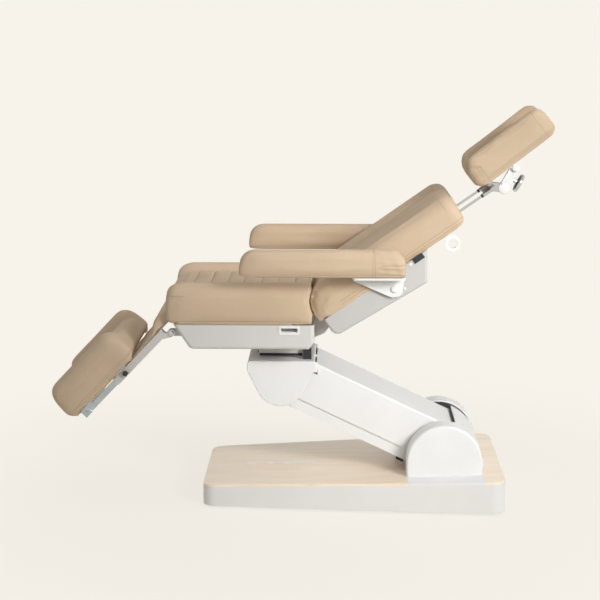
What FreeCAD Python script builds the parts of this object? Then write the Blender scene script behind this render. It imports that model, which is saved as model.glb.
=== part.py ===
import FreeCAD, Part
import math
import os

# Treatment chair on a parallelogram lift, in millimetres.
# +X runs from the foot end to the head end, +Y across the chair, +Z up; Y = 0 is the plane of symmetry.
# Side-view positions are (x, z) pairs measured from the foot end of the base and from the floor.

V = FreeCAD.Vector

# Base
BASE_LENGTH = 1112.0
BASE_FOOT_HALF = 270.0
BASE_HEAD_HALF = 350.0
BASE_FOOT_TOP = 79.0
BASE_HEAD_TOP = 119.0
BASE_CORNER = 50.0
FLOOR_GAP = 8.0
SHEET = 3.0
DECK = 8.0
PEDESTAL_LENGTH = 280.0
PEDESTAL_TO = BASE_LENGTH - 75.0
PEDESTAL_FROM = PEDESTAL_TO - PEDESTAL_LENGTH
INLAY_FROM = 142.0
INLAY_TO = 433.0
INLAY_HALF = 11.0
RAIL = 30.0
RAIL_Y = 200.0
RAIL_TOP = 40.0
FOOT_RADIUS = 22.0
CHEEK_RADIUS = 140.0
CHEEK_WIDTH = 80.0

# Lift arm: two equal links that hang between the pedestal and the carriage
ARM_LENGTH = 668.0
ARM_ANGLE = 25.5
ARM_HALF = 150.0
CHEEK_INNER = ARM_HALF + 10.0
CHEEK_OUTER = CHEEK_INNER + CHEEK_WIDTH
LOW_PIVOT = (PEDESTAL_FROM + 86.0, 150.0)
LINK_OFFSET = (50.0, 55.0)
UPPER_TOP = 81.5
UPPER_SKIRT = 68.0
LOWER_DEPTH = 38.5
PIN = 12.0
FIT = 0.05
BRACKET_Y = 106.0
PLATE = 8.0
STUB = 10.0
# The upper pivot of the arm in the carriage's own drawing, which the parts above it share
CARRIAGE_PIVOT = (290.073, 492.581)

# Seat
SEAT_HALF = 290.0
SEAT_FRONT = -124.0
SEAT_REAR = 401.0
TRAY_TOP = 692.0
TRAY_FLOOR = 602.0
TRAY_REAR = 412.0
SEAT_BOARD = 12.0
CREASE = 4.5
BOLSTER = 100.0
SEAT_RIDGE = 838.0
SEAT_PANEL = 812.0
CHANNEL_COUNT = 7
CHANNEL_PITCH = 63.0
TILT_PIVOT = (385.0, 556.0)

# Back
BACK_ANGLE = 35.0
BACK_CENTRE = (485.0, 778.0)
BACK_ROUND = 88.0
BACK_LENGTH = 556.0
BACK_REAR = -32.0
HINGE_DROP = 4.0
HINGE_ROOM = 36.0
ROLL_HOLE = 17.5
LEVER = 70.0

# Head
HEAD_ANGLE = 38.0
ROD_SPACING = 164.0
ROD_RADIUS = 5.0
ROD_LEVEL = -14.0
HEAD_LENGTH = 364.0
HEAD_HALF = 140.0

# Legs
LEG_ANGLE = 46.5
LEG_PIVOT = (-108.0, 655.0)
LEG_HALF = 280.0
LEG_TUBE_Y = 232.0
LEG_TUBE = 28.0
LEG_TUBE_LEVEL = 22.0

# Arms of the chair
ARM_PAD_Y = SEAT_HALF + 54.0
ARM_PAD_HALF = 46.0
ARM_PAD_FROM = 143.0
ARM_PAD_TO = 738.0
ARM_PAD_LOW = 880.3
ARM_PIVOT = (206.0, -81.0)
AXLE = 10.0

# Panels let into the undersides of the back, head and leg cushions
PANEL = 6.0
LET_IN = 0.3

# Sections in each quarter round at the end of a cushion
END_STEPS = 4

nodes = {}
joints = {}
directions = {}


def turned(origin, angle, u, n):
    """World (x, z) of the point u along and n above a line that rises at the angle from the origin."""
    c = math.cos(math.radians(angle))
    s = math.sin(math.radians(angle))
    return (origin[0] + u * c - n * s, origin[1] + u * s + n * c)


def place(shape, origin, angle):
    """Carry a shape built along +X to a line that rises at the angle from the origin."""
    moved = shape.copy()
    moved.rotate(V(0, 0, 0), V(0, 1, 0), -angle)
    moved.translate(V(origin[0], 0, origin[1]))
    return moved


def rounded(corners):
    """Closed wire through corner points, each with its own radius."""
    count = len(corners)
    starts = []
    ends = []
    middles = []
    for i in range(count):
        p, r = corners[i]
        a = (corners[i - 1][0] - p).normalize()
        b = (corners[(i + 1) % count][0] - p).normalize()
        if r <= 0:
            starts.append(p)
            ends.append(p)
            middles.append(None)
            continue
        half = a.getAngle(b) / 2
        reach = r / math.tan(half)
        axis = (a + b).normalize()
        starts.append(p + a * reach)
        ends.append(p + b * reach)
        middles.append(p + axis * (r / math.sin(half) - r))
    edges = []
    for i in range(count):
        if middles[i] is not None:
            edges.append(Part.Arc(starts[i], middles[i], ends[i]).toShape())
        following = starts[(i + 1) % count]
        if ends[i].distanceToPoint(following) > 0.001:
            edges.append(Part.makeLine(ends[i], following))
    return Part.Wire(edges)


def prism(corners, y0, y1):
    """Side outline of (x, z, radius) corners carried from y0 to y1."""
    wire = rounded([(V(x, y0, z), r) for x, z, r in corners])
    return Part.Face(wire).extrude(V(0, y1 - y0, 0))


def slab(corners, z0, z1):
    """Plan outline of (x, y, radius) corners carried from z0 to z1."""
    wire = rounded([(V(x, y, z0), r) for x, y, r in corners])
    return Part.Face(wire).extrude(V(0, 0, z1 - z0))


def box(x0, x1, y0, y1, z0, z1):
    return Part.makeBox(x1 - x0, y1 - y0, z1 - z0, V(x0, y0, z0))


def bar(point, radius, y0, y1):
    """Round bar across the chair at a side-view point."""
    return Part.makeCylinder(radius, y1 - y0, V(point[0], y0, point[1]), V(0, 1, 0))


def capsule(p, q, radius, y0, y1):
    """Flat link with round ends at two side-view points."""
    dx = q[0] - p[0]
    dz = q[1] - p[1]
    length = math.hypot(dx, dz)
    nx = -dz / length * radius
    nz = dx / length * radius
    corners = [V(p[0] + nx, y0, p[1] + nz), V(q[0] + nx, y0, q[1] + nz)]
    corners += [V(q[0] - nx, y0, q[1] - nz), V(p[0] - nx, y0, p[1] - nz)]
    face = Part.Face(Part.makePolygon(corners + corners[:1]))
    web = face.extrude(V(0, y1 - y0, 0))
    return web.fuse([bar(p, radius, y0, y1), bar(q, radius, y0, y1)]).removeSplitter()


def mirrored(shape):
    return shape.mirror(V(0, 0, 0), V(0, 1, 0))


def both(shape):
    return [shape, mirrored(shape)]


def welded(shapes):
    return shapes[0].fuse(shapes[1:]).removeSplitter()


def softened(shape, radius, chosen):
    """Round the edges that the test picks."""
    edges = [e for e in shape.Edges if chosen(e)]
    return shape.makeFillet(radius, edges)


def bevelled(shape, size, chosen):
    """Cut a flat bevel along the edges that the test picks."""
    edges = [e for e in shape.Edges if chosen(e)]
    return shape.makeChamfer(size, edges)


def spun(profile, base, axis):
    """Turned piece: a closed outline of (radius, height) points spun about an axis through the base point."""
    points = [V(r, 0, h) for r, h in profile]
    face = Part.Face(Part.makePolygon(points + points[:1]))
    solid = face.revolve(V(0, 0, 0), V(0, 0, 1), 360)
    solid.Placement = FreeCAD.Placement(base, FreeCAD.Rotation(V(0, 0, 1), axis))
    return solid


def add(name, shapes):
    nodes[name] = shapes if isinstance(shapes, list) else [shapes]


def deck_level(x):
    """Height of the top of the skirt, which rises towards the head end."""
    return BASE_FOOT_TOP + (BASE_HEAD_TOP - BASE_FOOT_TOP) * x / BASE_LENGTH


def base_half(x):
    return BASE_FOOT_HALF + (BASE_HEAD_HALF - BASE_FOOT_HALF) * x / BASE_LENGTH


def soft_section(u, half, low, side, ridge, panel, valley, centre):
    """One cross section of a cushion: flat underside, drawn-in sides, two bolsters and a crowned panel.

    A pad without bolsters has its ridge on the round between side and top.
    """
    crest = (half + panel) / 2 + 6
    if ridge < valley:
        crest = panel + 0.72 * (half - 5 - panel)
    foot_r = V(u, half - 9, low)
    foot_l = V(u, 9 - half, low)
    top_r = V(u, half - 5, side)
    top_l = V(u, 5 - half, side)
    seam_r = V(u, panel, valley)
    seam_l = V(u, -panel, valley)
    mid = (low + side) / 2
    edges = [Part.makeLine(foot_l, foot_r)]
    edges.append(Part.Arc(foot_r, V(u, half, mid), top_r).toShape())
    edges.append(Part.Arc(top_r, V(u, crest, ridge), seam_r).toShape())
    edges.append(Part.Arc(seam_r, V(u, 0, centre), seam_l).toShape())
    edges.append(Part.Arc(seam_l, V(u, -crest, ridge), top_l).toShape())
    edges.append(Part.Arc(top_l, V(u, -half, mid), foot_l).toShape())
    return Part.Wire(edges)


def cushion(u0, u1, half, heights, panel, first, last):
    """Loft of cushion sections; first and last give the reach, drop, inset and lift of the rounded ends."""
    low, side, ridge, valley, centre = heights
    stations = []
    for end, reach, rounding in ((u0, first[0], first[1:]), (u1, -last[0], last[1:])):
        quarter = []
        for j in range(END_STEPS + 1):
            angle = math.radians(90.0 * j / END_STEPS)
            near = 1 - math.sin(angle)
            quarter.append((end + reach * (1 - math.cos(angle)), [r * near for r in rounding]))
        stations += quarter if end == u0 else reversed(quarter)
    wires = []
    for u, (drop, inset, lift) in stations:
        k = 1 - drop / (max(ridge, valley) - low)
        side_k, ridge_k, valley_k, centre_k = [low + (h - low) * k for h in (side, ridge, valley, centre)]
        edge = panel - inset
        wires.append(soft_section(u, half - inset, low + lift, side_k, ridge_k, edge, valley_k, centre_k))
    return Part.makeLoft(wires, True, True)


up = (-math.cos(math.radians(ARM_ANGLE)) * ARM_LENGTH, math.sin(math.radians(ARM_ANGLE)) * ARM_LENGTH)
P2 = LOW_PIVOT
P1 = (P2[0] + LINK_OFFSET[0], P2[1] + LINK_OFFSET[1])
Q1 = (P1[0] + up[0], P1[1] + up[1])
Q2 = (P2[0] + up[0], P2[1] + up[1])
H = turned(BACK_CENTRE, BACK_ANGLE, 0, -HINGE_DROP)
A = turned(BACK_CENTRE, BACK_ANGLE, *ARM_PIVOT)
KNUCKLE = (BACK_LENGTH + 176.0, ROD_LEVEL - 32.0)
K1 = turned(BACK_CENTRE, BACK_ANGLE, *KNUCKLE)
K2 = (K1[0] + 42.0, K1[1] + 76.0)


def build_base():
    """Wedge-shaped skirt, its deck, and the tube frame that stands inside it on four feet."""

    def plan(inset):
        a = BASE_FOOT_HALF - inset
        b = BASE_HEAD_HALF - inset
        r = BASE_CORNER - inset
        ends = (inset, BASE_LENGTH - inset)
        return slab([(ends[0], -a, r), (ends[1], -b, r), (ends[1], b, r), (ends[0], a, r)], FLOOR_GAP, 260)

    def band(x0, x1, under, over):
        low = [FLOOR_GAP, FLOOR_GAP] if under is None else [deck_level(x0) + under, deck_level(x1) + under]
        high = [deck_level(x1) + over, deck_level(x0) + over]
        return prism([(x0, low[0], 0), (x1, low[1], 0), (x1, high[0], 0), (x0, high[1], 0)], -400, 400)

    far = BASE_LENGTH + 10
    well = box(PEDESTAL_FROM + 13, PEDESTAL_TO - 7, -ARM_HALF, ARM_HALF, 45, 200)
    outer = plan(0).common(band(-10, far, None, 0))
    inner = plan(SHEET).common(band(-10, far, None, -SHEET))
    add("base_skirt", outer.cut(inner).cut(well))
    deck = plan(1.0).common(band(-10, far, 0, DECK))
    deck = bevelled(deck, 1.5, lambda e: e.BoundBox.ZMin > deck_level(e.BoundBox.XMin) + DECK - 0.1)
    inlay = box(INLAY_FROM, INLAY_TO, -INLAY_HALF, INLAY_HALF, 60, 200)
    add("deck_front", deck.common(box(-10, PEDESTAL_FROM - 0.3, -400, 400, 0, 300)).cut(inlay))
    add("deck_rear", deck.common(box(PEDESTAL_TO + 0.3, far, -400, 400, 0, 300)))
    add("pedestal_plate", deck.common(box(PEDESTAL_FROM, PEDESTAL_TO, -400, 400, 0, 300)).cut(well))
    edge = INLAY_HALF - 0.2
    strip = deck.common(box(INLAY_FROM + 0.2, INLAY_TO - 0.2, -edge, edge, 60, 200))
    add("deck_inlay", strip)

    rail = box(30, BASE_LENGTH - 27, RAIL_Y - RAIL / 2, RAIL_Y + RAIL / 2, FLOOR_GAP, RAIL_TOP)
    frame = both(rail)
    for x in (40, 500, BASE_LENGTH - 72):
        reach = base_half(x) - SHEET - 0.4 if x == 500 else RAIL_Y + RAIL / 2 + 1
        frame.append(box(x, x + RAIL, -reach, reach, FLOOR_GAP, RAIL_TOP))
    for x in (150, 620):
        frame += both(box(x, x + 20, RAIL_Y - 10, RAIL_Y + 10, RAIL_TOP, deck_level(x) - SHEET - 0.3))
    add("base_frame", welded(frame))
    feet = []
    for x in (60, BASE_LENGTH - 62):
        feet += both(Part.makeCylinder(FOOT_RADIUS, FLOOR_GAP, V(x, RAIL_Y, 0)))
    add("levelling_feet", feet)
    case = softened(box(440, 600, -90, 90, RAIL_TOP, RAIL_TOP + 42), 5, lambda e: e.BoundBox.ZLength > 40)
    add("control_box", case)


def build_pedestal():
    """Upright pivot plates on the frame, with two arched cheeks and a rear hood over them."""
    a = PEDESTAL_FROM
    level = RAIL_TOP + PLATE
    outline = [(a + 23, level, 4), (a + 48, 185, 30), (a + 123, 240, 30)]
    outline += [(a + 168, 230, 30), (a + 203, level, 4)]
    plate = prism(outline, BRACKET_Y, BRACKET_Y + PLATE)
    plate = plate.cut(bar(P1, PIN + FIT, 100, 120)).cut(bar(P2, PIN + FIT, 100, 120))
    floor = box(a + 13, a + 213, -RAIL_Y - RAIL / 2, RAIL_Y + RAIL / 2, RAIL_TOP, level)
    web = box(a + 183, a + 191, -BRACKET_Y - 0.5, BRACKET_Y + 0.5, level, 180)
    add("pedestal_bracket", welded(both(plate) + [floor, web]))
    add("lower_pins", [bar(P1, PIN, -130, 130), bar(P2, PIN, -118, 118)])

    cx = a + PEDESTAL_LENGTH / 2 - 4
    cz = 168.0

    def arch(radius, y0, y1):
        foot = [V(x, y0, deck_level(x) + DECK) for x in (cx + radius, cx - radius)]
        spring = [V(cx - radius, y0, cz), V(cx + radius, y0, cz)]
        crown = V(cx, y0, cz + radius)
        d = radius * math.sqrt(0.5)
        edges = [Part.makeLine(foot[0], foot[1]), Part.makeLine(foot[1], spring[0])]
        edges.append(Part.Arc(spring[0], V(cx - d, y0, cz + d), crown).toShape())
        edges.append(Part.Arc(crown, V(cx + d, y0, cz + d), spring[1]).toShape())
        edges.append(Part.makeLine(spring[1], foot[0]))
        return Part.Face(Part.Wire(edges)).extrude(V(0, y1 - y0, 0))

    outer = arch(CHEEK_RADIUS, CHEEK_INNER, CHEEK_OUTER)
    outer = softened(outer, 9, lambda e: e.BoundBox.YMin > CHEEK_OUTER - 0.1 and e.BoundBox.ZMax > cz - 1)
    cheek = outer.cut(arch(CHEEK_RADIUS - 6, CHEEK_INNER - 1, CHEEK_OUTER - 6))
    add("cheek_right", cheek)
    add("cheek_left", mirrored(cheek))

    centre = (a + 118.0, 133.0)
    radius = 168.0
    top = math.radians(67)
    foot_level = deck_level(centre[0] + radius) + DECK + 0.2
    end = math.asin((foot_level - centre[1]) / radius)

    half = ARM_HALF + 8

    def on_hood(r, angle):
        return V(centre[0] + r * math.cos(angle), -half, centre[1] + r * math.sin(angle))

    mid = (top + end) / 2
    skin = [[on_hood(r, angle) for angle in (end, mid, top)] for r in (radius, radius - SHEET)]
    ring = [Part.Arc(*skin[0]).toShape(), Part.makeLine(skin[0][2], skin[1][2])]
    ring += [Part.Arc(*reversed(skin[1])).toShape(), Part.makeLine(skin[1][0], skin[0][0])]
    add("rear_hood", Part.Face(Part.Wire(ring)).extrude(V(0, 2 * half, 0)))


def build_arm():
    """Upper and lower links with their nested covers, and the actuator on the diagonal between them."""
    d = ARM_LENGTH
    tilt = -ARM_ANGLE

    def link(y0, y1):
        blade = capsule((0, 0), (-d, 0), PIN + 8, y0, y1)
        for s in (0, -d):
            blade = blade.cut(bar((s, 0), PIN + FIT, y0 - 1, y1 + 1))
        return blade

    outside = BRACKET_Y + PLATE + 4
    upper = both(link(outside, outside + PLATE))
    for s in (150, 540):
        upper.append(bar((-s, 8), 11, 3 - ARM_HALF, ARM_HALF - 3))
    upper.append(bar((-450, 0), 10, -outside - 1, outside + 1))
    add("upper_link", place(welded(upper), P1, tilt))

    lower = both(link(BRACKET_Y - PLATE - 2, BRACKET_Y - 2))
    for s in (180, 540):
        lower.append(bar((-s, -12), 9, 8 - ARM_HALF, ARM_HALF - 8))
    add("lower_link", place(welded(lower), P2, tilt))

    def hood(top, half, left, floor):
        low = math.sqrt(max(top * top - floor * floor, 1))
        points = [V(left, -half, top), V(0, -half, top), V(top, -half, 0), V(low, -half, -floor)]
        edges = [Part.makeLine(points[0], points[1])]
        edges.append(Part.Arc(points[1], V(top * 0.70711, -half, top * 0.70711), points[2]).toShape())
        bend = math.atan2(-floor, low) / 2
        turn = V(top * math.cos(bend), -half, top * math.sin(bend))
        edges.append(Part.Arc(points[2], turn, points[3]).toShape())
        edges.append(Part.makeLine(points[3], V(left, -half, -floor)))
        edges.append(Part.makeLine(V(left, -half, -floor), points[0]))
        return Part.Face(Part.Wire(edges)).extrude(V(0, 2 * half, 0))

    outer = hood(UPPER_TOP, ARM_HALF, -d - 25, UPPER_SKIRT)
    outer = softened(outer, 7, lambda e: abs(e.BoundBox.YLength) < 0.1 and e.BoundBox.ZMin > UPPER_TOP - 0.1)
    inner = hood(UPPER_TOP - SHEET, ARM_HALF - SHEET, -d - 30, UPPER_SKIRT + 5)
    cover = outer.cut(inner)
    cover = cover.cut(box(-60, UPPER_TOP + 5, SHEET - ARM_HALF, ARM_HALF - SHEET, -90, 20))
    cover = place(cover, P1, tilt)
    reach = Part.makeCylinder(133, 400, V(Q1[0], -200, Q1[1]), V(0, 1, 0))
    for lean in (-20, 28):
        a = turned(Q1, lean, -200, 33)
        b = turned(Q1, lean, 200, 33)
        c = turned(Q1, lean, 200, 260)
        e = turned(Q1, lean, -200, 260)
        above = prism([(a[0], a[1], 0), (b[0], b[1], 0), (c[0], c[1], 0), (e[0], e[1], 0)], -200, 200)
        cover = cover.cut(reach.common(above))
    add("upper_cover", cover)

    skin = ARM_HALF - 5
    r = LOWER_DEPTH
    shell = capsule((0, 0), (-d, 0), r, -skin, skin)
    hollow = capsule((0, 0), (-d, 0), r - SHEET, SHEET - skin, skin - SHEET)
    trough = shell.cut(hollow).cut(box(-d - 60, 60, -200, 200, 26, 60))
    for x0, x1 in ((-62, 60), (-d - 60, -625)):
        trough = trough.cut(box(x0, x1, SHEET - skin, skin - SHEET, -60, 60))
    trough = trough.cut(box(-d - 60, 60, SHEET - skin, skin - SHEET, 0, 60))
    add("lower_cover", place(trough, P2, tilt))

    rod_pin = turned(P1, tilt, -450, 0)
    dx = rod_pin[0] - P2[0]
    dz = rod_pin[1] - P2[1]
    span = math.hypot(dx, dz)
    slope = math.degrees(math.atan2(-dz, -dx))
    body = [bar((0, 0), 22, -20, 20), Part.makeCylinder(22, 272, V(-18, 0, 0), V(-1, 0, 0))]
    body.append(Part.makeCylinder(24, 110, V(-60, 48, 0), V(-1, 0, 0)))
    body.append(box(-84, -60, 0, 48, -20, 20))
    body = welded(body).cut(bar((0, 0), PIN + FIT, -30, 30))
    body = body.cut(Part.makeCylinder(11.3, 200, V(-150, 0, 0), V(-1, 0, 0)))
    add("lift_actuator_body", place(body, P2, slope))
    rod = [Part.makeCylinder(11, span - 200, V(-180, 0, 0), V(-1, 0, 0)), bar((-span, 0), 25, -13, 13)]
    rod = welded(rod).cut(bar((-span, 0), 17, -20, 20))
    add("lift_actuator_rod", place(rod, P2, slope))
    directions["lift rod"] = (dx / span, 0.0, dz / span)


def build_carriage():
    """Head of the lift: bracket between the links, its pick-shaped cover and the tilt hinge on top."""
    upper = CARRIAGE_PIVOT
    lower = (upper[0] - LINK_OFFSET[0], upper[1] - LINK_OFFSET[1])
    outline = [(200, 529, 4), (388, 529, 4), (388, 500, 12), (325, 468, 20)]
    outline += [(262, 408, 24), (218, 408, 24), (200, 470, 20)]
    plate = prism(outline, BRACKET_Y, BRACKET_Y + PLATE)
    plate = plate.cut(bar(upper, PIN + FIT, 100, 120)).cut(bar(lower, STUB + FIT, 100, 120))
    motor_x = 214.0
    motor_hole = Part.makeCylinder(20.3, 60, V(motor_x, 0, 500))
    flange = box(200, 388, -BRACKET_Y - 0.5, BRACKET_Y + 0.5, 529 - PLATE, 529).cut(motor_hole)
    add("carriage_bracket", welded(both(plate) + [flange]))
    add("upper_pin", bar(upper, PIN, -130, 130))
    add("stub_pins", both(bar(lower, STUB, BRACKET_Y - 14, BRACKET_Y + 12)))

    half = ARM_HALF + 18
    wall = half - 4
    outer = [(163, 533, 12), (162, 497, 40), (283, 254.5, 91), (421, 517, 20), (412, 533, 8)]
    outer = prism(outer, -half, half)
    outer = bevelled(outer, 2, lambda e: e.BoundBox.YLength < 0.1)
    inner = [(167, 529, 8), (166, 497, 38), (283, 262, 87), (416, 517, 16), (409, 529, 5)]
    inner = prism(inner, -wall, wall)
    cover = outer.cut(inner)
    cover = cover.cut(box(195, 500, -wall, wall, 300, 430)).cut(box(300, 500, -wall, wall, 300, 528.9))
    add("carriage_cover", cover.cut(motor_hole))

    block = box(370, 400, 104, 130, 533, 574)
    block = softened(block, 6, lambda e: e.BoundBox.YLength > 20 and e.BoundBox.ZMin > 540)
    add("tilt_blocks", both(block.cut(bar(TILT_PIVOT, 8 + FIT, 100, 140))))
    add("tilt_pins", both(bar(TILT_PIVOT, 8, 88, 132)))
    body = Part.makeCylinder(20, 90, V(motor_x, 0, 450)).cut(Part.makeCylinder(8.3, 60, V(motor_x, 0, 490)))
    add("tilt_actuator_body", body)
    head = softened(box(motor_x - 24, motor_x + 24, -14, 14, 573, 600), 5, lambda e: e.BoundBox.YLength > 20)
    head = head.cut(box(motor_x - 18, motor_x + 18, -20, 20, 577, 595))
    add("tilt_actuator_rod", welded([Part.makeCylinder(8, 78, V(motor_x, 0, 496)), head]))


def build_seat():
    """Seat frame on the tilt hinge, with tray, board, cushion, sockets, knee flap and the back actuator."""
    neck = H
    outline = [(-30, 615, 5), (196, 615, 5), (204, 541, 12), (399, 541, 12), (404, 608, 10), (448, 626, 30)]
    outline += [(neck[0] + 22, neck[1] - 60, 40), (neck[0] + 22, neck[1] + 22, 20)]
    outline.append((neck[0] - 22, neck[1] + 22, 20))
    outline += [(neck[0] - 24, 705, 30), (452, TRAY_TOP, 10), (-72, TRAY_TOP, 4), (-64, 668, 8)]
    plate = prism(outline, 92, 100)
    plate = plate.cut(bar(TILT_PIVOT, 8 + FIT, 80, 110)).cut(bar(H, PIN + FIT, 80, 110))
    frame = both(plate)
    side = LEG_TUBE_Y + LEG_TUBE / 2
    frame.append(bar((-50, LEG_PIVOT[1]), 12, -side, side))
    frame.append(bar((214, 586), 8, -93, 93))
    frame.append(bar((60, 626), 9, -93, 93))
    lug = capsule((-50, LEG_PIVOT[1]), LEG_PIVOT, 14, side - 20, side - 12)
    lug = lug.cut(bar(LEG_PIVOT, 8 + FIT, side - 26, side - 6))
    frame += both(lug)
    add("seat_frame", welded(frame))

    outer = prism([(-98, TRAY_TOP, 0), (-38, TRAY_FLOOR, 25), (392, TRAY_FLOOR, 8), (TRAY_REAR, 626, 8),
                   (TRAY_REAR, TRAY_TOP, 0)], 2 - SEAT_HALF, SEAT_HALF - 2)
    outer = softened(outer, 14, lambda e: e.BoundBox.YLength < 0.1 and e.BoundBox.ZMin < TRAY_TOP - 1
                     and e.BoundBox.ZMax - e.BoundBox.ZMin < 0.1 and e.BoundBox.XLength > 100)
    inner = prism([(-92, TRAY_TOP + 5, 0), (-36, TRAY_FLOOR + 4, 22), (390, TRAY_FLOOR + 4, 6),
                   (TRAY_REAR - 4, 628, 6), (TRAY_REAR - 4, TRAY_TOP + 5, 0)], 6 - SEAT_HALF, SEAT_HALF - 6)
    inner = softened(inner, 11, lambda e: e.BoundBox.YLength < 0.1 and e.BoundBox.ZMin < TRAY_TOP - 1
                     and e.BoundBox.ZMax - e.BoundBox.ZMin < 0.1 and e.BoundBox.XLength > 100)
    tray = outer.cut(inner)
    tray = tray.cut(box(186, 402, -136, 136, 590, 610)).cut(box(380, 430, -130, 130, 600, TRAY_TOP + 1))
    for gap in both(box(-120, -40, side - 23, side + 1, 636, 674)):
        tray = tray.cut(gap)
    socket_hole = box(290, 355, SEAT_HALF - 20, SEAT_HALF + 10, 664, 685)
    for gap in both(socket_hole):
        tray = tray.cut(gap)
    add("seat_tray", tray)

    sleeve = box(290.2, 354.8, SEAT_HALF - 50, SEAT_HALF - 2, 664.2, 684.8)
    rim = softened(box(284, 361, SEAT_HALF - 2, SEAT_HALF + 2, 658, 691), 8, lambda e: e.BoundBox.YLength > 3)
    socket = welded([sleeve, rim]).cut(box(293, 352, SEAT_HALF - 46, SEAT_HALF + 5, 667, 682))
    add("socket_right", socket)
    add("socket_left", mirrored(socket))

    w = SEAT_HALF - 10
    rear = SEAT_REAR - 66

    def board(gap):
        outline = [(-96 - gap, -w - gap, 20), (rear + gap, -w - gap, 10)]
        outline += [(rear + gap, w + gap, 10), (-96 - gap, w + gap, 20)]
        return slab(outline, TRAY_TOP - 3 * gap, TRAY_TOP + SEAT_BOARD + gap)

    add("seat_board", board(0))
    low = TRAY_TOP + LET_IN
    heights = (low, 788.0, SEAT_RIDGE, SEAT_PANEL - 2, SEAT_PANEL)
    panel = SEAT_HALF - BOLSTER
    seat = cushion(SEAT_FRONT, SEAT_REAR, SEAT_HALF, heights, panel, (45, 45, 22, 14), (8, 6, 4, 0))
    heel = [(SEAT_REAR - 60, low - 5, 0), (SEAT_REAR + 10, low - 5, 0), (SEAT_REAR + 10, low + 28, 0)]
    heel.append((SEAT_REAR - 60, low - 2, 0))
    seat = seat.cut(board(LET_IN)).cut(prism(heel, -SEAT_HALF - 20, SEAT_HALF + 20))
    for i in range(CHANNEL_COUNT):
        x = -40 + CHANNEL_PITCH * i
        seat = seat.cut(bar((x, SEAT_PANEL + 2), 8, 4 - panel, panel - 4))
    seat = seat.cut(bar(BACK_CENTRE, BACK_ROUND + CREASE, -SEAT_HALF - 20, SEAT_HALF + 20))
    add("seat_cushion", seat)

    root = SEAT_FRONT - 0.4
    tail = LEG_TUBE_LEVEL + LEG_TUBE / 2 + 1.5
    flap = [(root, 732, 1), (-156, 708, 30), (-172, 668, 60)]
    flap += [(*turned(LEG_PIVOT, LEG_ANGLE, u, tail + 4), r) for u, r in ((-66, 40), (-178, 1))]
    flap += [(*turned(LEG_PIVOT, LEG_ANGLE, u, tail), r) for u, r in ((-178, 1), (-63, 40))]
    flap += [(-167, 666, 60), (-151, 703, 26), (root, 726, 1)]
    add("knee_flap", prism(flap, 20 - LEG_TUBE_Y, LEG_TUBE_Y - 20))

    drive = 655.0
    body = [Part.makeCylinder(26, 250, V(135, 0, drive), V(1, 0, 0))]
    body.append(box(100, 140, -28, 28, drive - 30, drive + 30))
    body.append(box(150, 172, -93, 93, drive - 39.5, drive - 20))
    body = welded(body).cut(Part.makeCylinder(10.3, 200, V(190, 0, drive), V(1, 0, 0)))
    foot = body.cut(box(150, 172, 91.8, 95, 600, 700)).cut(box(150, 172, -95, -91.8, 600, 700))
    add("back_actuator_body", foot)
    level = H[1] - LEVER
    head = box(H[0] - 15, H[0] + 15, -14, 14, drive - 14, level + 30)
    head = softened(head, 5, lambda e: e.BoundBox.YLength > 20)
    head = head.cut(box(H[0] - 10, H[0] + 10, -20, 20, level - 10, level + 26))
    rod = welded([Part.makeCylinder(10, H[0] - 270, V(262, 0, drive), V(1, 0, 0)), head])
    add("back_actuator_rod", rod)


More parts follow.
